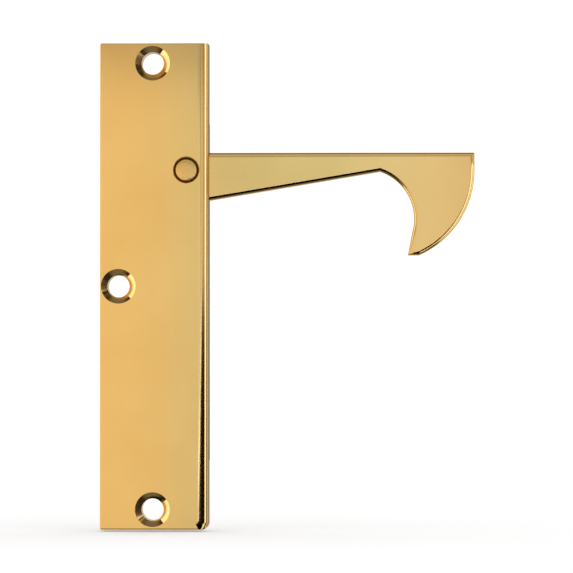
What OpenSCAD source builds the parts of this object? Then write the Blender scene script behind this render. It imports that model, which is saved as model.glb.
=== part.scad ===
// Flush edge pull for a sliding pocket door: a brass plate that is let into the door's face, with a
// hook-shaped pull lever that swings out of a slot along the door's edge.
// The plate stands upright. X runs towards the door's edge, Y into the door and Z up. The origin is
// the centre of the back plate's rear face, and the lever is drawn swung out.

/* [Plate] */
// Height of the plate
plate_h = 155.6; // [150:0.1:190]
// Width of the plate
plate_w = 34.9; // [34.9:0.1:44]
// Thickness of the face plate
face_t = 2.9; // [2.6:0.1:5]
// Thickness of the back plate
back_t = 1.6; // [1.3:0.1:4]
// Radius of the rounded front edge along the slot
edge_round = 2.4; // [0.8:0.1:2.5]
// Plan radius of the lower corner beside the slot
low_corner_r = 2.4; // [0.5:0.1:5]
// Plan radius of the other three corners
corner_r = 0.6; // [0.3:0.1:3]

/* [Door screw holes] */
// Diameter of the three holes
screw_bore_d = 7.1; // [5:0.1:7.4]
// Diameter of a countersink at the front face
sink_d = 11.1; // [8.5:0.1:11.4]
// Included angle of a countersink
sink_angle = 82; // [82:1:90]
// Distance from the plate's ends to the end holes
end_hole_inset = 6.4; // [5.8:0.1:7.5]
// Sideways place of the end holes from the plate's middle
end_hole_x = -0.6; // [-3:0.1:3]
// Distance from the plate's plain edge to the side hole
side_hole_inset = 5.9; // [5.8:0.1:7]

/* [Pivot] */
// Height of the pivot above the plate's middle
pivot_z = 37.2; // [33:0.1:41]
// Diameter of the pivot pin
pin_d = 6.35; // [5.2:0.05:7.65]
// Lip of the pin's head beyond its shank
head_lip = 0.8; // [0.4:0.1:1.2]
// Thickness of the pin's head
head_t = 1.2; // [1:0.1:1.6]
// Width of the chamfer around the pin's head
head_chamfer = 0.8; // [0.4:0.1:0.9]
// Wall of the lever's bushing
bushing_wall = 1; // [0.6:0.1:1.2]
// Radial running clearance of the bushing on the pin
running_gap = 0.05; // [0.02:0.01:0.1]
// Rim of the washers beyond the bushing
washer_rim = 2; // [1:0.1:2.2]
// Thickness of the thrust washer
thrust_t = 0.4; // [0.3:0.05:0.6]
// Height of the wave washer when it is pressed in
wave_t = 0.35; // [0.2:0.05:0.6]
// Diameter of the stop pin
stop_d = 3; // [2:0.1:3.6]

/* [Lever] */
// Thickness of the lever
lever_t = 4.2; // [3.4:0.1:7]
// Reach of the lever from the pivot to its far corner
lever_reach = 92.3; // [76:0.1:94]
// Height of the lever's straight edge above the pivot
lever_top = 5.7; // [5.4:0.1:7]
// How far the straight edge lies inside the slot when the lever is swung in
slot_inset = 1.6; // [0.5:0.1:2]
// Radius of the hook's back
hook_r = 29.8; // [28:0.1:30]
// Radius of the hook's throat
throat_r = 15.9; // [13:0.1:16.5]
// How far the hook's tip drops below the pivot
tip_drop = 27.3; // [22:0.1:27.3]
// Slope of the arm's underside
arm_slope = 9.6; // [8:0.1:11]
// Length of the heel behind the pivot
heel_l = 13; // [12.6:0.1:15.6]
// Height of the heel
heel_h = 8; // [7:0.1:9]
// Gap around the swinging lever
swing_gap = 0.6; // [0.4:0.1:1.2]

/* [Case screws] */
// Diameter of the case screws' thread
case_screw_d = 2.5; // [2:0.1:3]
// Diameter of the case screws' heads
case_head_d = 4.7; // [4:0.1:5]
// Distance of the corner screws from the plate's sides
case_screw_inset = 5.4; // [4:0.1:7]
// Drop from the pivot to the upper screw beside the pocket
spine_screw_drop = 11; // [6:1:20]
// Distance of the lower screw beside the pocket from the spacer's end
spine_screw_inset = 5; // [4:0.5:8]

/* [Hidden] */
$fn = 96;
seat_gap = 0.05;
pocket_t = lever_t + thrust_t + wave_t + seat_gap;
pocket_y = -back_t;
face_y = pocket_y - pocket_t;
front_y = face_y - face_t;
lever_y = face_y + thrust_t + seat_gap / 2;
edge_x = plate_w / 2;
plain_x = -plate_w / 2;

sink_depth = (sink_d - screw_bore_d) / 2 / tan(sink_angle / 2);
end_hole_z = plate_h / 2 - end_hole_inset;
side_hole_x = plain_x + side_hole_inset;
door_holes = [[end_hole_x, end_hole_z], [side_hole_x, 0], [end_hole_x, -end_hole_z]];

pivot = [edge_x - slot_inset - lever_top, pivot_z];
head_d = pin_d + 2 * head_lip;
tail_d = pin_d * 0.75;
tail_sink = 0.8;
bushing_d = pin_d + 2 * running_gap + 2 * bushing_wall;
washer_d = bushing_d + 2 * washer_rim;
washer_gap = 0.15;

// The lever's outline is drawn about its pivot, swung out along +X.
boss_r = 8;
heel_low = lever_top - heel_h;
heel_corner_r = 1.6;
hook_x = lever_reach - hook_r;
throat = [hook_x - 5.5, -15.6];
arch = [hook_x - 0.5, throat[1] + sqrt(pow(throat_r, 2) - pow(hook_x - 0.5 - throat[0], 2))];
root = [3, arch[1] - (arch[0] - 3) * tan(arm_slope)];
lip = [throat[0] + throat_r - 0.6, throat[1] - 4.4];
tip_x = lip[0] - (tip_drop + lip[1]) * tan(11);

// The stop pin meets the heel's lower edge when the lever is out and the arm's root when it is in.
stop_gap = 0.15;
stop_socket = 1.4;
stop_z = heel_low - stop_d / 2 - stop_gap;
stop_x = arch[1] - (arch[0] + stop_z) * tan(arm_slope) - (stop_d / 2 + stop_gap) / cos(arm_slope);
stop = pivot + [stop_x, stop_z];

// The pocket clears the heel at its top and side, and the hook at its two curved ends.
heel_swing_r = norm([heel_l, lever_top]) + swing_gap;
hook_swing_r = norm([lever_reach, lever_top]) + swing_gap;
spine_end_r = norm([tip_x, tip_drop]) - 3 - swing_gap;
pocket_x = pivot[0] - heel_swing_r;
pocket_top_z = pivot[1] + heel_swing_r;
pocket_low_z = pivot[1] - hook_swing_r;

// Case screws go in from behind, past the spacers, into blind threads in the face plate.
corner_screw_x = edge_x - case_screw_inset;
top_screw_z = (pocket_top_z + end_hole_z - screw_bore_d / 2) / 2;
low_screw_z = (pocket_low_z - plate_h / 2) / 2;
spine_end_z = pivot[1] - sqrt(pow(spine_end_r, 2) - pow(pivot[0] - side_hole_x, 2));
case_points = [
    [-corner_screw_x, top_screw_z], [corner_screw_x, top_screw_z],
    [side_hole_x, pivot[1] - spine_screw_drop], [side_hole_x, spine_end_z + spine_screw_inset],
    [-corner_screw_x, low_screw_z], [corner_screw_x, low_screw_z]
];
case_floor = 0.9;
case_thread_l = face_t - case_floor;
case_head_h = (case_head_d - case_screw_d) / 2;
case_bore_d = case_screw_d + 0.3;
drive_d = 1.6;
drive_depth = 0.7;
past = 1;

// Stands a flat outline up in the plate's plane, from depth y0 to y0 + t.
module slab(y0, t) {
    translate([0, y0 + t, 0]) rotate([90, 0, 0]) linear_extrude(t) children();
}

// A round bar through the plate's plane at [x, z], from depth y0 to y0 + l; a cone where d2 differs.
module rod(at, y0, l, d, d2 = undef) {
    translate([at[0], y0, at[1]])
        rotate([-90, 0, 0]) cylinder(h = l, d1 = d, d2 = is_undef(d2) ? d : d2);
}

// A round hole right through a layer that lies from y0 to y0 + t.
module through(at, y0, t, d) {
    rod(at, y0 - past, t + 2 * past, d);
}

// What a round of radius r takes off the corner of an outline; s gives the corner's side and end.
module corner_waste(corner, s, r) {
    difference() {
        translate(corner - s * r / 2) square(r + 0.02, center = true);
        translate(corner - s * r) circle(r);
    }
}

module plate_outline() {
    difference() {
        square([plate_w, plate_h], center = true);
        corner_waste([edge_x, -plate_h / 2], [1, -1], low_corner_r);
        corner_waste([edge_x, plate_h / 2], [1, 1], corner_r);
        corner_waste([plain_x, plate_h / 2], [-1, 1], corner_r);
        corner_waste([plain_x, -plate_h / 2], [-1, -1], corner_r);
    }
}

// What the quarter round takes off the front edge along the slot.
module slot_edge_waste() {
    translate([edge_x - edge_round, front_y, -plate_h / 2 - past]) difference() {
        translate([0, -past, 0]) cube([edge_round + past, edge_round + past, plate_h + 2 * past]);
        translate([0, edge_round, -past]) cylinder(h = plate_h + 4 * past, r = edge_round);
    }
}

// A spacer between the two plates, with its holes for the door screws and the case screws.
module spacer() {
    difference() {
        slab(face_y, pocket_t) intersection() {
            plate_outline();
            children();
        }
        for (at = door_holes) through(at, face_y, pocket_t, screw_bore_d);
        for (at = case_points) through(at, face_y, pocket_t, case_bore_d);
    }
}

module face_plate() {
    color("goldenrod") difference() {
        slab(front_y, face_t) plate_outline();
        slot_edge_waste();
        for (at = door_holes) {
            through(at, front_y, face_t, screw_bore_d);
            rod(at, front_y, sink_depth, sink_d, screw_bore_d);
        }
        through(pivot, front_y, face_t, pin_d);
        rod(pivot, front_y - past, head_t + past, head_d + 2 * seat_gap);
        rod(stop, face_y - stop_socket, stop_socket + past, stop_d);
        for (at = case_points) rod(at, face_y - case_thread_l, case_thread_l + past, case_screw_d);
    }
}

module upper_spacer() {
    color("darkgoldenrod") spacer() difference() {
        union() {
            translate([plain_x, pivot[1]]) square([plate_w, plate_h]);
            translate(pivot) circle(spine_end_r, $fn = 256);
        }
        translate([pocket_x, pocket_top_z - 2 * plate_h]) square([plate_w, 2 * plate_h]);
    }
}

module lower_spacer() {
    color("darkgoldenrod") spacer() difference() {
        translate([plain_x, -plate_h]) square([plate_w, plate_h]);
        translate(pivot) circle(hook_swing_r, $fn = 256);
    }
}

module back_plate() {
    color("darkkhaki") difference() {
        slab(pocket_y, back_t) plate_outline();
        for (at = door_holes) through(at, pocket_y, back_t, screw_bore_d);
        for (at = case_points) {
            through(at, pocket_y, back_t, case_bore_d);
            rod(at, -case_head_h, case_head_h, case_screw_d, case_head_d);
        }
        through(stop, pocket_y, back_t, stop_d);
        through(pivot, pocket_y, back_t, tail_d);
        rod(pivot, -tail_sink, tail_sink, tail_d, tail_d + 2 * tail_sink);
    }
}

module case_screws() {
    color("dimgray") for (at = case_points) difference() {
        union() {
            rod(at, face_y - case_thread_l, case_thread_l + pocket_t + back_t, case_screw_d);
            rod(at, -case_head_h, case_head_h, case_screw_d, case_head_d);
        }
        translate([at[0], -drive_depth, at[1]])
            rotate([-90, 0, 0]) cylinder(h = drive_depth + past, d = drive_d, $fn = 6);
    }
}

module stop_pin() {
    color("silver") rod(stop, face_y - stop_socket, stop_socket + pocket_t + back_t, stop_d);
}

module pivot_pin() {
    color("goldenrod") {
        rod(pivot, front_y, head_chamfer, head_d - 2 * head_chamfer, head_d);
        rod(pivot, front_y + head_chamfer, head_t - head_chamfer, head_d);
        rod(pivot, front_y + head_t, face_t - head_t + pocket_t, pin_d);
        rod(pivot, pocket_y, back_t, tail_d);
        rod(pivot, -tail_sink, tail_sink, tail_d, tail_d + 2 * tail_sink);
    }
}

// A flat ring around the pivot.
module ring(y0, t, outer_d, inner_d) {
    difference() {
        rod(pivot, y0, t, outer_d);
        through(pivot, y0, t, inner_d);
    }
}

module thrust_washer() {
    color("ivory") ring(face_y, thrust_t, washer_d, pin_d + 2 * washer_gap);
}

module wave_washer() {
    color("silver") ring(pocket_y - wave_t, wave_t, washer_d, pin_d + 2 * washer_gap);
}

module pivot_bushing() {
    color("peru") ring(lever_y, lever_t, bushing_d, pin_d + 2 * running_gap);
}

// The boss around the pivot, cut off level with the straight edge, and the heel behind it.
module heel_outline() {
    intersection() {
        circle(boss_r);
        translate([-boss_r, -boss_r]) square([2 * boss_r, boss_r + lever_top]);
    }
    difference() {
        translate([-heel_l, heel_low]) square([heel_l, heel_h]);
        corner_waste([-heel_l, lever_top], [-1, 1], heel_corner_r);
        corner_waste([-heel_l, heel_low], [-1, -1], heel_corner_r);
    }
}

module arm_outline() {
    polygon([
        [0, 0], [0, lever_top], [lever_reach, lever_top], [lever_reach, 0], [hook_x, 0],
        arch, root, [-1, -boss_r * 0.99]
    ]);
}

module hook_outline() {
    difference() {
        intersection() {
            translate([hook_x, 0]) circle(hook_r, $fn = 256);
            polygon([
                [arch[0], lever_top / 2], [lever_reach + past, lever_top / 2],
                [lever_reach + past, -tip_drop], [tip_x, -tip_drop], lip, arch
            ]);
        }
        translate(throat) circle(throat_r, $fn = 192);
    }
}

module hook_lever() {
    color("goldenrod") translate([pivot[0], 0, pivot[1]]) difference() {
        union() {
            slab(lever_y, lever_t) heel_outline();
            slab(lever_y, lever_t) arm_outline();
            slab(lever_y, lever_t) hook_outline();
        }
        through([0, 0], lever_y, lever_t, bushing_d);
    }
}

face_plate();
upper_spacer();
lower_spacer();
back_plate();
case_screws();
stop_pin();
pivot_pin();
thrust_washer();
wave_washer();
pivot_bushing();
hook_lever();
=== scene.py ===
import math

import bmesh
import bpy
from mathutils import Matrix, Vector


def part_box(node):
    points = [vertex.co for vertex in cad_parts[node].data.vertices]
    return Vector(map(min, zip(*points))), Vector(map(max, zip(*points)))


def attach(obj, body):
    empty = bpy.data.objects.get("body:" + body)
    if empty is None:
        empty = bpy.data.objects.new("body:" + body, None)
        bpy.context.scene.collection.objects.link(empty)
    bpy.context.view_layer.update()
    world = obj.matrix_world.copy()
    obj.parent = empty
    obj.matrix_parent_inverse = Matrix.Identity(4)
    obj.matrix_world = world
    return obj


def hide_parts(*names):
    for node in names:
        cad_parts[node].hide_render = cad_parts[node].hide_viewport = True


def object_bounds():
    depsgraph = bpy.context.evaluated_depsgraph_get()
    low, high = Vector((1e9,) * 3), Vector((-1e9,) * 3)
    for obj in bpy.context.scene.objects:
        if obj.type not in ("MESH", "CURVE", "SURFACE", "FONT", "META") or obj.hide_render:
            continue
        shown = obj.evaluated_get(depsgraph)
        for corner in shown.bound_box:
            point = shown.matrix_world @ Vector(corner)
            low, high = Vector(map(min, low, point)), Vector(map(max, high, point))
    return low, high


mm = 0.001
same = 0.001 * mm  # closer than this is the same place
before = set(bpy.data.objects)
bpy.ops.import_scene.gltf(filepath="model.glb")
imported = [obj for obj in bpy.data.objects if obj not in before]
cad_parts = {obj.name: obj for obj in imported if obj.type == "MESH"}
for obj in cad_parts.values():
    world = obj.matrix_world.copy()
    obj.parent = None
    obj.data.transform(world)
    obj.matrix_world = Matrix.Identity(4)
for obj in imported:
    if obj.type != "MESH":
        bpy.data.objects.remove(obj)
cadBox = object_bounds()
plateLo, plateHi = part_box("face_plate")
leverLo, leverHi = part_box("hook_lever")
pinLo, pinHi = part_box("pivot_pin")
pivot = (pinLo + pinHi) / 2
print("frame loaded")


# Shader maths as plain expressions

class Wire:
    def __init__(self, tree, socket):
        self.tree = tree
        self.socket = socket

    def maths(self, operation, *values):
        return self.node("ShaderNodeMath", {"operation": operation}, dict(enumerate(values)))

    def node(self, kind, settings=None, inputs=None, out=0):
        made = self.tree.nodes.new(kind)
        settings = dict(settings or {})
        stops = settings.pop("stops", None)
        for key, value in settings.items():
            setattr(made, key, value)
        if stops:
            marks = made.color_ramp.elements
            while len(marks) < len(stops):
                marks.new(0.5)
            for element, (place, colour) in zip(marks, stops):
                element.position = place
                element.color = (*colour, 1)
        for key, value in (inputs or {}).items():
            if isinstance(value, Wire):
                self.tree.links.new(value.socket, made.inputs[key])
            else:
                made.inputs[key].default_value = value
        return Wire(self.tree, made.outputs[out])

    def __add__(self, other):
        return self.maths("ADD", self, other)

    def __radd__(self, other):
        return self.maths("ADD", other, self)

    def __sub__(self, other):
        return self.maths("SUBTRACT", self, other)

    def __rsub__(self, other):
        return self.maths("SUBTRACT", other, self)

    def __mul__(self, other):
        return self.maths("MULTIPLY", self, other)

    def __rmul__(self, other):
        return self.maths("MULTIPLY", other, self)

    def __pow__(self, other):
        return self.maths("POWER", self, other)


# Materials

def bareMaterial(name):
    material = bpy.data.materials.new(name)
    material.use_nodes = True
    tree = material.node_tree
    tree.nodes.clear()
    return material, tree, tree.nodes.new("ShaderNodeOutputMaterial")


def newMaterial(name):
    material, tree, output = bareMaterial(name)
    shader = tree.nodes.new("ShaderNodeBsdfPrincipled")
    tree.links.new(shader.outputs[0], output.inputs[0])
    place = Wire(tree, tree.nodes.new("ShaderNodeTexCoord").outputs["Object"])
    return material, shader, place


def plug(shader, **values):
    names = {"colour": "Base Color", "roughness": "Roughness", "metallic": "Metallic", "normal": "Normal"}
    for key, value in values.items():
        socket = shader.inputs[names[key]]
        if isinstance(value, Wire):
            value.tree.links.new(value.socket, socket)
        else:
            socket.default_value = value


def stretched(place, scale):
    return place.node("ShaderNodeMapping", None, {0: place, 3: scale})


def noise(place, scale, detail=3, rough=0.5):
    return place.node("ShaderNodeTexNoise", None,
                      {"Vector": place, "Scale": scale, "Detail": detail, "Roughness": rough})


def mixed(place, fac, low, high):
    return place.node("ShaderNodeMix", {"data_type": "RGBA"}, {0: fac, 6: low, 7: high}, 2)


def tint(place, fac, low, high):
    return mixed(place, fac, (*low, 1), (*high, 1))


def ramp(value, near, far, low=0.0, high=1.0):
    # low up to near, high from far on, and a straight slope between them
    return value.node("ShaderNodeMapRange", {"clamp": True}, {0: value, 1: near, 2: far, 3: low, 4: high})


def along(place, axis):
    return place.node("ShaderNodeSeparateXYZ", None, {0: place}, "XYZ".index(axis))


def fromPivot(place):
    # distance from the pivot's axis
    x, z = along(place, "X") - pivot.x, along(place, "Z") - pivot.z
    return (x * x + z * z) ** 0.5


# painted shade: the colour and masks of a dark line down the slot edge, in the pin seat's wall and in the
# ring round the pin's head, standing in for shade and dark reflections there
paintedShade = {"colour": (0.22, 0.17, 0.08, 1), "slotStart": 1.05 * mm, "slotFull": 0.65 * mm, "slotAmount": 0.75,
        "slotLean": 0.002, "seatFull": 4.05 * mm, "seatEnd": 4.15 * mm,
        "ringStart": 3.25 * mm, "ringFull": 3.6 * mm, "ringAmount": 0.5}


def platePaintedShade(place):
    # painted shade: darkened along the arris of the slot edge, for the dark reflection and shade there, and
    # in the wall of the pin's seat, where shade falls in the recess
    s = paintedShade
    slotEdge = ramp(along(place, "X") - along(place, "Z") * s["slotLean"],
                    plateHi.x - s["slotStart"], plateHi.x - s["slotFull"], 0.0, s["slotAmount"])
    seat = 1 - ramp(fromPivot(place), s["seatFull"], s["seatEnd"])
    return slotEdge.maths("MAXIMUM", slotEdge, seat)


def pinPaintedShade(place):
    # painted shade in the groove round the riveted head, darkening the ring where shade falls
    return ramp(fromPivot(place), paintedShade["ringStart"], paintedShade["ringFull"]) * paintedShade["ringAmount"]


def metal(name, dark, light, finish, shadeMask=None):
    material, shader, place = newMaterial(name)
    lengthwise = stretched(place, finish["grain"])
    hairline = noise(lengthwise, finish["grainScale"], 4, 0.65)
    cloud = noise(place, finish["cloudScale"], 3)
    speck = noise(place, finish["speckScale"], 2)
    bearing = place.node("ShaderNodeNewGeometry", None, None, "Pointiness")
    worn = ramp(bearing, *finish["wornEdge"])
    shade = ramp(cloud * 0.7 + hairline * 0.3, 0.35, 0.65)
    colour = tint(place, shade, dark, light)
    # mixes the painted shade colour into the brass where the mask asks for it
    if shadeMask:
        colour = mixed(place, shadeMask(place), colour, paintedShade["colour"])
    rough = (finish["roughness"] + (hairline - 0.5) * finish["roughSpread"]
             + (cloud - 0.5) * finish["cloudSpread"] - worn * finish["wornShine"])
    bump = place.node("ShaderNodeBump", None,
                      {"Strength": finish["bump"], "Distance": finish["depth"],
                       "Height": hairline * 0.8 + speck * finish["pits"]})
    plug(shader, colour=colour, roughness=rough, metallic=1.0, normal=bump)
    return material


polish = {"grain": (1, 1, 0.02), "grainScale": 9000, "cloudScale": 45, "speckScale": 1500,
          "roughness": 0.12, "roughSpread": 0.04, "cloudSpread": 0.04, "wornEdge": (0.505, 0.56),
          "wornShine": 0.02, "bump": 0.05, "depth": 0.02 * mm, "pits": 0.2}
alongLever = dict(polish, grain=(0.02, 1, 1), roughness=0.14, bump=0.06)
peened = dict(polish, grain=(1, 1, 1), grainScale=900, speckScale=1400, roughness=0.2, bump=0.55,
              depth=0.1 * mm, pits=1.0)
milled = dict(polish, grain=(1, 1, 0.03), grainScale=2600, roughness=0.34, roughSpread=0.16, bump=0.25)
turned = dict(polish, grain=(1, 0.05, 1), grainScale=2500, roughness=0.27, roughSpread=0.1, bump=0.15)

faceBrass = metal("polishedBrass", (0.77, 0.505, 0.19), (0.82, 0.55, 0.22), polish, platePaintedShade)
leverBrass = metal("leverBrass", (0.77, 0.505, 0.19), (0.82, 0.55, 0.22), alongLever)
pinBrass = metal("peenedBrass", (0.70, 0.43, 0.14), (0.82, 0.54, 0.21), peened, pinPaintedShade)
millBrass = metal("milledBrass", (0.60, 0.39, 0.15), (0.74, 0.50, 0.21), milled)
bronze = metal("sinteredBronze", (0.34, 0.17, 0.07), (0.50, 0.27, 0.12),
               dict(turned, pits=1.2, roughness=0.4))
dowelSteel = metal("groundSteel", (0.46, 0.46, 0.47), (0.60, 0.60, 0.61), turned)
springSteel = metal("springSteel", (0.30, 0.30, 0.32), (0.48, 0.48, 0.50), turned)
blackSteel = metal("blackenedSteel", (0.035, 0.036, 0.04), (0.07, 0.07, 0.075),
                   dict(turned, roughness=0.42))


def nylonMaterial():
    material, shader, place = newMaterial("naturalNylon")
    cloud = noise(place, 160, 3)
    bump = place.node("ShaderNodeBump", None,
                      {"Strength": 0.2, "Distance": 0.02 * mm, "Height": noise(place, 2500)})
    plug(shader, colour=tint(place, cloud, (0.62, 0.60, 0.52), (0.74, 0.72, 0.65)),
         roughness=0.42 + cloud * 0.1, normal=bump)
    return material


nylon = nylonMaterial()
print("materials made")


# Mesh work: edge angles are in degrees

edgeAngles = {"flat": 0.5, "hard": 30, "shadedSharp": 32}


def addPiece(bm, name, material, body, slot, *nodes):
    bmesh.ops.recalc_face_normals(bm, faces=bm.faces)
    mesh = bpy.data.meshes.new(name)
    bm.to_mesh(mesh)
    bm.free()
    piece = bpy.data.objects.new(name, mesh)
    bpy.context.scene.collection.objects.link(piece)
    mesh.polygons.foreach_set("use_smooth", [True] * len(mesh.polygons))
    mesh.set_sharp_from_angle(angle=math.radians(edgeAngles["shadedSharp"]))
    weighted = piece.modifiers.new("flatFaces", "WEIGHTED_NORMAL")
    weighted.keep_sharp = True
    weighted.weight = 100
    mesh.materials.append(material)
    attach(piece, body)
    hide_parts(*nodes)
    return piece


def joinFlats(bm):
    bmesh.ops.dissolve_limit(bm, angle_limit=math.radians(edgeAngles["flat"]), verts=bm.verts,
                             edges=bm.edges, use_dissolve_boundaries=False, delimit=set())


def mergedCopy(node):
    bm = bmesh.new()
    bm.from_mesh(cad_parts[node].data)
    bmesh.ops.remove_doubles(bm, verts=bm.verts, dist=same)
    joinFlats(bm)
    return bm


def hardEdges(bm, degrees=edgeAngles["hard"]):
    limit = math.radians(degrees)
    return [e for e in bm.edges if len(e.link_faces) == 2 and e.calc_face_angle(0) > limit]


def soften(bm, edges, width, segments=2):
    bmesh.ops.bevel(bm, geom=edges, offset=width, offset_type="OFFSET", segments=segments, profile=0.5,
                    affect="EDGES", clamp_overlap=True, material=-1, loop_slide=True)


def softCopy(node, name, material, body, slot, width):
    bm = mergedCopy(node)
    soften(bm, hardEdges(bm), width)
    return addPiece(bm, name, material, body, slot, node)


def lathe(outline, at, steps=96):
    # outline points are (radius, depth); a full turn about the depth axis
    bm = bmesh.new()
    verts = [bm.verts.new((at.x + r, y, at.z)) for r, y in outline]
    edges = [bm.edges.new(pair) for pair in zip(verts, verts[1:])]
    bmesh.ops.spin(bm, geom=verts + edges, cent=(at.x, 0, at.z), axis=(0, 1, 0), angle=math.tau,
                   steps=steps, use_merge=True)
    bmesh.ops.remove_doubles(bm, verts=bm.verts, dist=0.0001 * mm)
    bmesh.ops.recalc_face_normals(bm, faces=bm.faces)
    return bm


def carve(bm, cutters):
    # takes the cutters out of the block with exact booleans, and clears the slivers that they leave
    def looseObject(part, name):
        mesh = bpy.data.meshes.new(name)
        part.to_mesh(mesh)
        part.free()
        made = bpy.data.objects.new(name, mesh)
        bpy.context.scene.collection.objects.link(made)
        return made

    block = looseObject(bm, "block")
    tools = [looseObject(cutter, "cutter") for cutter in cutters]
    for tool in tools:
        cut = block.modifiers.new("cut", "BOOLEAN")
        cut.operation = "DIFFERENCE"
        cut.solver = "EXACT"
        cut.object = tool
    bpy.context.view_layer.update()
    result = bmesh.new()
    result.from_mesh(block.evaluated_get(bpy.context.evaluated_depsgraph_get()).data)
    for made in [block, *tools]:
        bpy.data.objects.remove(made)
    bmesh.ops.remove_doubles(result, verts=result.verts, dist=same)
    bmesh.ops.dissolve_degenerate(result, edges=result.edges, dist=same)
    return result


# Face plate: one block with a swept round along the slot, three countersinks and the pin's seat

facePlate = {
    "rollWidth": 3.6 * mm, "rollDepth": 2.4 * mm, "rollSteps": 28,
    "turnRadius": 4.8 * mm, "turnRise": 2.9 * mm, "turnAngle": 62, "turnSteps": 16,
    "lowCorner": 2.4 * mm, "lowCornerSteps": 12, "corner": 0.6 * mm, "cornerSteps": 4,
    "arris": 0.35 * mm, "arrisSteps": 5,
    "boreRadius": 3.55 * mm, "sinkRadius": 5.55 * mm, "sinkAngle": 98, "sinkSteps": 216,
    "endInset": 6.4 * mm, "endAside": -0.6 * mm, "sideInset": 5.9 * mm,
    "headRadius": 4.025 * mm, "headDepth": 1.2 * mm, "seatSoft": 0.3 * mm, "shankRadius": 3.175 * mm,
}


def doorHoles():
    s = facePlate
    x = (plateLo.x + plateHi.x) / 2 + s["endAside"]
    z = plateHi.z - s["endInset"]
    return [Vector((x, 0, z)), Vector((plateLo.x + s["sideInset"], 0, 0)), Vector((x, 0, -z))]


def sinkCutter(at):
    s = facePlate
    front, back = plateLo.y, plateHi.y
    depth = (s["sinkRadius"] - s["boreRadius"]) / math.tan(math.radians(s["sinkAngle"] / 2))
    return lathe([(0, front - mm), (s["sinkRadius"], front - mm), (s["sinkRadius"], front),
                  (s["boreRadius"], front + depth), (s["boreRadius"], back + mm), (0, back + mm)], at,
                 s["sinkSteps"])


def seatCutter():
    s = facePlate
    front, back = plateLo.y, plateHi.y
    soft = s["seatSoft"]
    return lathe([(0, front - mm), (s["headRadius"] + soft, front - mm), (s["headRadius"] + soft, front),
                  (s["headRadius"], front + soft * 1.1), (s["headRadius"], front + s["headDepth"]),
                  (s["shankRadius"], front + s["headDepth"]), (s["shankRadius"], back + mm),
                  (0, back + mm)], pivot)


def rollCutter():
    # what polishing takes off the slot side: an oval quarter round, swept down it and round the low corner
    s = facePlate
    edge, front, low = plateHi.x, plateLo.y, plateLo.z
    bm = bmesh.new()
    top = plateHi.z + mm
    start = bm.verts.new((edge - s["rollDepth"], front, top))
    bmesh.ops.spin(bm, geom=[start], cent=(edge - s["rollDepth"], front + s["rollDepth"], top),
                   axis=(0, 0, 1), angle=math.pi / 2, steps=s["rollSteps"])
    stretch = s["rollWidth"] / s["rollDepth"]
    for vert in bm.verts:
        vert.co.x = edge + (vert.co.x - edge) * stretch
    outline = sorted(bm.verts, key=lambda v: v.co.x)
    outline += [bm.verts.new((edge + x, front + y, top)) for x, y in
                ((mm, s["rollDepth"]), (mm, -mm), (-s["rollWidth"], -mm))]
    for spun in list(bm.edges):
        bm.edges.remove(spun)
    face = bm.faces.new(outline)
    bend = low + s["turnRise"]
    grown = bmesh.ops.extrude_face_region(bm, geom=[face])["geom"]
    moved = [v for v in grown if isinstance(v, bmesh.types.BMVert)]
    bmesh.ops.translate(bm, vec=(0, 0, bend - top), verts=moved)
    last = [f for f in bm.faces if all(v in moved for v in f.verts)]
    bmesh.ops.spin(bm, geom=last, cent=(edge - s["turnRadius"], 0, bend), axis=(0, 1, 0),
                   angle=math.radians(s["turnAngle"]), steps=s["turnSteps"])
    bmesh.ops.remove_doubles(bm, verts=bm.verts, dist=0.0001 * mm)
    inner = [f for f in bm.faces if all(len(e.link_faces) > 2 for e in f.edges)]
    bmesh.ops.delete(bm, geom=inner, context="FACES_ONLY")
    bmesh.ops.recalc_face_normals(bm, faces=bm.faces)
    return bm


def buildFacePlate():
    s = facePlate
    size, centre = plateHi - plateLo, (plateHi + plateLo) / 2
    bm = bmesh.new()
    bmesh.ops.create_cube(bm, size=1, matrix=Matrix.Translation(centre) @ Matrix.Diagonal((*size, 1)))

    def uprights(*places):
        return [e for e in bm.edges for x, z in places
                if all(abs(v.co.x - x) < same and abs(v.co.z - z) < same for v in e.verts)]

    soften(bm, uprights((plateHi.x, plateLo.z)), s["lowCorner"], s["lowCornerSteps"])
    soften(bm, uprights((plateHi.x, plateHi.z), (plateLo.x, plateHi.z), (plateLo.x, plateLo.z)),
           s["corner"], s["cornerSteps"])
    frontRim = [e for e in bm.edges if all(abs(v.co.y - plateLo.y) < same for v in e.verts)]
    soften(bm, frontRim, s["arris"], s["arrisSteps"])
    bm = carve(bm, [rollCutter(), *[sinkCutter(at) for at in doorHoles()], seatCutter()])
    return addPiece(bm, "facePlate", faceBrass, "case", "polished_brass", "face_plate")


buildFacePlate()
print("face plate built")


# Hook lever: its whole outline is rolled over at the front, and only broken at the back

hookLever = {"roll": 1.4 * mm, "rollSteps": 12, "backArris": 0.5 * mm, "backSteps": 5,
             "corner": 0.35 * mm, "cornerSteps": 3, "cornerAngle": 25, "cornerHeight": 1 * mm,
             "boreRadius": 4.225 * mm, "boreMargin": 0.2 * mm, "shortestEdge": 0.2 * mm}


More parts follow.
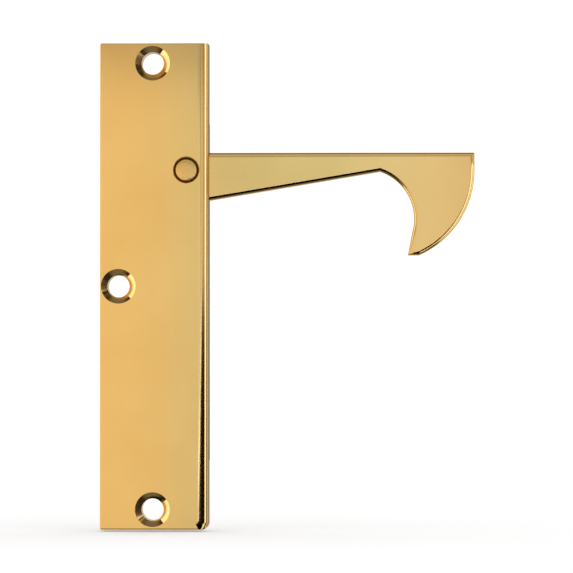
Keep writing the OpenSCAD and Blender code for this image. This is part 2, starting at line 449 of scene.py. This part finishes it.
def rollOver(bm, level, outward, radius, steps):
    # sinks a flat end by the radius, then brings it back in small insets that follow a quarter round
    def flatEnd():
        return [f for f in bm.faces if all(abs(v.co.y - level) < same for v in f.verts)]

    sunk = {v for f in flatEnd() for v in f.verts}
    level -= outward * radius
    for vert in sunk:
        vert.co.y = level
    for step in range(steps):
        a, b = (math.pi / 2 * (step + k) / steps for k in (0, 1))
        across, up = radius * (math.cos(a) - math.cos(b)), radius * (math.sin(b) - math.sin(a))
        bmesh.ops.inset_region(bm, faces=flatEnd(), thickness=across, depth=0, use_even_offset=True,
                               use_boundary=True)
        inner = max(flatEnd(), key=lambda f: f.calc_area())
        bmesh.ops.remove_doubles(bm, verts=list(inner.verts), dist=hookLever["shortestEdge"])
        inner = max(flatEnd(), key=lambda f: f.calc_area())
        level += outward * up
        for vert in inner.verts:
            vert.co.y = level


def buildHookLever():
    s = hookLever
    bm = mergedCopy("hook_lever")
    reach = s["boreRadius"] + s["boreMargin"]
    bore = [f for f in bm.faces
            if all(math.hypot(v.co.x - pivot.x, v.co.z - pivot.z) < reach for v in f.verts)]
    bmesh.ops.delete(bm, geom=bore, context="FACES")
    bmesh.ops.holes_fill(bm, edges=[e for e in bm.edges if e.is_boundary], sides=0)
    joinFlats(bm)
    upright = [e for e in hardEdges(bm, s["cornerAngle"])
               if abs((e.verts[0].co - e.verts[1].co).y) > s["cornerHeight"]]
    soften(bm, upright, s["corner"], s["cornerSteps"])
    rollOver(bm, leverLo.y, -1, s["roll"], s["rollSteps"])
    rollOver(bm, leverHi.y, 1, s["backArris"], s["backSteps"])
    hole = lathe([(0, leverLo.y - mm), (s["boreRadius"], leverLo.y - mm),
                  (s["boreRadius"], leverHi.y + mm), (0, leverHi.y + mm)], pivot)
    bm = carve(bm, [hole])
    return addPiece(bm, "hookLever", leverBrass, "lever", "lever_brass", "hook_lever")


buildHookLever()
print("lever built")


# Pivot pin: chamfered head, its end a little domed and hammered

pivotPin = {"headRadius": 3.975 * mm, "topRadius": 3.3 * mm, "chamferDepth": 0.9 * mm,
            "headDepth": 1.2 * mm, "dome": 0.06 * mm, "domeRadius": 0.86, "shankRadius": 3.175 * mm,
            "tailRadius": 2.38 * mm, "tailSink": 0.8 * mm, "backPlate": 1.6 * mm}


def buildPivotPin():
    s = pivotPin
    front, back = pinLo.y, pinHi.y
    inner = back - s["backPlate"]
    bm = lathe([(0, front), (s["topRadius"] * 0.5, front + s["dome"] * 0.25),
                (s["topRadius"] * s["domeRadius"], front + s["dome"]),
                (s["topRadius"], front + s["dome"] * 2.5),
                (s["headRadius"], front + s["chamferDepth"]), (s["headRadius"], front + s["headDepth"]),
                (s["shankRadius"], front + s["headDepth"]), (s["shankRadius"], inner),
                (s["tailRadius"], inner), (s["tailRadius"], back - s["tailSink"]),
                (s["tailRadius"] + s["tailSink"], back), (0, back)], pivot)
    return addPiece(bm, "pivotPin", pinBrass, "case", "pin_brass", "pivot_pin")


buildPivotPin()
print("pin built")


# The inside of the case, from the design's own shapes with their edges broken

innerPieces = {
    "upper_spacer": ("upperSpacer", millBrass, "case", "milled_brass", 0.12 * mm),
    "lower_spacer": ("lowerSpacer", millBrass, "case", "milled_brass", 0.12 * mm),
    "back_plate": ("backPlate", millBrass, "case", "milled_brass", 0.15 * mm),
    "case_screws": ("caseScrews", blackSteel, "case", "screw_steel", 0.08 * mm),
    "stop_pin": ("stopPin", dowelSteel, "case", "pin_steel", 0.15 * mm),
    "pivot_bushing": ("pivotBushing", bronze, "lever", "bushing_bronze", 0.15 * mm),
    "thrust_washer": ("thrustWasher", nylon, "case", "washer_nylon", 0.05 * mm),
    "wave_washer": ("waveWasher", springSteel, "case", "spring_steel", 0.05 * mm),
}

for node, look in innerPieces.items():
    softCopy(node, *look)
print("case built")


# Stage: floor, reflecting cards, lights, camera

def stagePlane(name, corners, material, seen=False, mirrored=True):
    bm = bmesh.new()
    bm.faces.new([bm.verts.new(corner) for corner in corners])
    mesh = bpy.data.meshes.new(name)
    bm.to_mesh(mesh)
    bm.free()
    made = bpy.data.objects.new(name, mesh)
    bpy.context.scene.collection.objects.link(made)
    mesh.materials.append(material)
    made.visible_camera = seen
    made.visible_glossy = mirrored
    made.visible_shadow = seen
    made.visible_diffuse = seen
    return made


frontCard = {
    "distance": 0.49, "halfWidth": 0.6, "foot": -0.55, "top": 0.55, "span": (-0.05, 0.15),
    "fadeUp": (0.092, 0.112), "fadeUpTo": 0.60, "fadeSide": (0.36, 0.42), "fadeSideTo": 0.75,
    "colours": [(0.00, (1.06, 0.94, 0.72)), (0.10, (1.04, 0.94, 0.74)), (0.20, (0.91, 0.94, 0.86)),
                (0.245, (0.79, 0.87, 0.86)), (0.45, (0.845, 0.985, 1.0)), (0.62, (0.92, 1.03, 1.08)),
                (0.70, (1.08, 1.09, 1.16)), (0.78, (0.90, 0.90, 0.86)), (0.84, (0.82, 0.80, 0.72))],
}
ceilingCard = {"right": 0.7, "nearEdge": -0.19, "colour": (1, 0.97, 0.92), "strength": 0.85}

# patches a little in front of the front card, as (x, z) corners, colour and strength:
# the black one covers its lower part, and gives the dark line down the slot edge
patchLead = 0.004
patches = {
    "darkCard": ([(-0.45, -0.27), (0.06, -0.087), (0.275, 0.004), (0.7, 0.004), (0.7, -1.5), (-0.45, -1.5)],
                 (0, 0, 0), 0),
    "rimCard": ([(0.02, -0.103), (0.06, -0.087), (0.275, 0.004), (0.24, 0.008), (0.02, -0.075)],
                (0.95, 1.0, 1.35), 2.1),
}

# cards standing round the object, as corners, colour and strength
sideCards = {
    "sideCard": ([(0.165, -0.115, -0.12), (0.245, -0.085, -0.12), (0.275, -0.074, 0.11),
                  (0.165, -0.115, 0.11)], (1, 0.97, 0.93), 1.9),
    "rightCard": ([(0.40, -0.055, -0.35), (0.40, 0.14, -0.35), (0.40, 0.14, 0.35),
                   (0.40, -0.055, 0.35)], (1, 0.97, 0.93), 1.5),
    "lowCard": ([(0.16, -0.14, -0.30), (0.24, -0.14, -0.30), (0.24, -0.14, -0.13),
                 (0.135, -0.14, -0.13)], (1, 0.97, 0.93), 1.5),
    "leftCard": ([(-0.40, -0.20, -0.35), (-0.40, 0.14, -0.35), (-0.40, 0.14, 0.35),
                  (-0.40, -0.20, 0.35)], (1, 0.97, 0.92), 1.85),
}


def gradedCard():
    # bright in front, warmer towards the plain side, cooler over the slot and round the hook
    s = frontCard
    material, tree, output = bareMaterial("gradedCard")
    place = Wire(tree, tree.nodes.new("ShaderNodeTexCoord").outputs["Object"])
    x, z = along(place, "X"), along(place, "Z")
    colour = place.node("ShaderNodeValToRGB", {"stops": s["colours"]}, {0: ramp(x, *s["span"])})
    strength = ramp(z, *s["fadeUp"], 1.0, s["fadeUpTo"]) * ramp(x, *s["fadeSide"], 1.0, s["fadeSideTo"])
    glow = place.node("ShaderNodeEmission", None, {"Color": colour, "Strength": strength})
    tree.links.new(glow.socket, output.inputs[0])
    return material


def glowCard(name, colour, strength):
    material, tree, output = bareMaterial(name)
    glow = tree.nodes.new("ShaderNodeEmission")
    glow.inputs["Color"].default_value = (*colour, 1)
    glow.inputs["Strength"].default_value = strength
    tree.links.new(glow.outputs[0], output.inputs[0])
    return material


floor = {"drop": 0.6 * mm, "halfSize": 4, "fadeFrom": 0.12, "fadeTo": 0.6, "grey": 0.9, "glow": 0.10,
         "backdropGlow": 1.1}


def paleFloor():
    # fades into the backdrop away from the object
    s = floor
    material, shader, place = newMaterial("paleFloor")
    far = place.node("ShaderNodeVectorMath", {"operation": "LENGTH"}, {0: place}, 1)
    fade = ramp(far, s["fadeFrom"], s["fadeTo"])
    plug(shader, colour=tint(place, fade, (s["grey"],) * 3, (0, 0, 0)), roughness=0.8)
    shader.inputs["Specular IOR Level"].default_value = 0.0
    shader.inputs["Emission Strength"].default_value = 1.0
    glow = tint(place, fade, (s["glow"],) * 3, (s["backdropGlow"],) * 3)
    place.tree.links.new(glow.socket, shader.inputs["Emission Color"])
    return material


def buildStage():
    s, c = frontCard, ceilingCard
    y, top, wide = plateLo.y - s["distance"], s["top"], s["halfWidth"]
    stagePlane("frontCard", [(-wide, y, s["foot"]), (wide, y, s["foot"]), (wide, y, top), (-wide, y, top)],
               gradedCard())
    stagePlane("ceilingCard", [(-wide, y, top), (c["right"], y, top), (c["right"], c["nearEdge"], top),
                               (-wide, c["nearEdge"], top)],
               glowCard("ceilingCard", c["colour"], c["strength"]))
    for name, (corners, colour, strength) in patches.items():
        stagePlane(name, [(x, y + patchLead, z) for x, z in corners], glowCard(name, colour, strength))
    for name, (corners, colour, strength) in sideCards.items():
        stagePlane(name, corners, glowCard(name, colour, strength))
    level, half = cadBox[0].z - floor["drop"], floor["halfSize"]
    stagePlane("floor", [(-half, -half, level), (half, -half, level), (half, half, level),
                         (-half, half, level)], paleFloor(), seen=True, mirrored=False)


# what the room mirrors: dim at the sides, bright in front and behind, a little lighter overhead
room = {"tone": (1.0, 0.96, 0.90, 1), "sides": 0.035, "front": 0.85, "frontFrom": 0.30, "frontFull": 0.8,
        "steep": 0.17, "steepFrom": 0.78, "steepFull": 0.95, "light": 1.0, "backdrop": 1.1}


def buildWorld():
    s = room
    world = bpy.data.worlds.new("studio")
    bpy.context.scene.world = world
    world.use_nodes = True
    tree = world.node_tree
    tree.nodes.clear()
    output = tree.nodes.new("ShaderNodeOutputWorld")
    direction = Wire(tree, tree.nodes.new("ShaderNodeTexCoord").outputs["Generated"])

    def size(value):
        return value.maths("ABSOLUTE", value)

    def sky(colour, strength):
        return direction.node("ShaderNodeBackground", None, {"Color": colour, "Strength": strength})

    level = ramp(size(along(direction, "Y")), s["frontFrom"], s["frontFull"], s["sides"], s["front"])
    steep = ramp(size(along(direction, "Z")), s["steepFrom"], s["steepFull"], 0.0, s["steep"])
    ray = tree.nodes.new("ShaderNodeLightPath")
    seen, mirrored = Wire(tree, ray.outputs["Is Camera Ray"]), Wire(tree, ray.outputs["Is Glossy Ray"])
    white = (1, 1, 1, 1)
    lit = direction.node("ShaderNodeMixShader", None,
                         {0: mirrored, 1: sky(white, s["light"]), 2: sky(s["tone"], level + steep)})
    whole = direction.node("ShaderNodeMixShader", None, {0: seen, 1: lit, 2: sky(white, s["backdrop"])})
    tree.links.new(whole.socket, output.inputs[0])


camera = {"azimuth": 1.5, "elevation": -1.0, "distance": 1.5, "frameWidth": 0.1831,
          "aimX": 0.0423, "aimZ": -0.0001, "sensor": 36}


def buildCamera():
    s = camera
    data = bpy.data.cameras.new("camera")
    made = bpy.data.objects.new("camera", data)
    a, e = math.radians(s["azimuth"]), math.radians(s["elevation"])
    back = Vector((math.sin(a) * math.cos(e), -math.cos(a) * math.cos(e), math.sin(e)))
    aim = Vector((s["aimX"], plateLo.y, s["aimZ"]))
    made.location = aim + back * s["distance"]
    made.rotation_euler = (-back).to_track_quat("-Z", "Y").to_euler()
    data.sensor_width = s["sensor"]
    data.lens = s["sensor"] * s["distance"] / s["frameWidth"]
    data.clip_start, data.clip_end = 0.01, 50
    bpy.context.scene.collection.objects.link(made)
    bpy.context.scene.camera = made


buildStage()
buildWorld()
buildCamera()
bpy.context.scene.view_settings.view_transform = "Standard"
print("stage built")
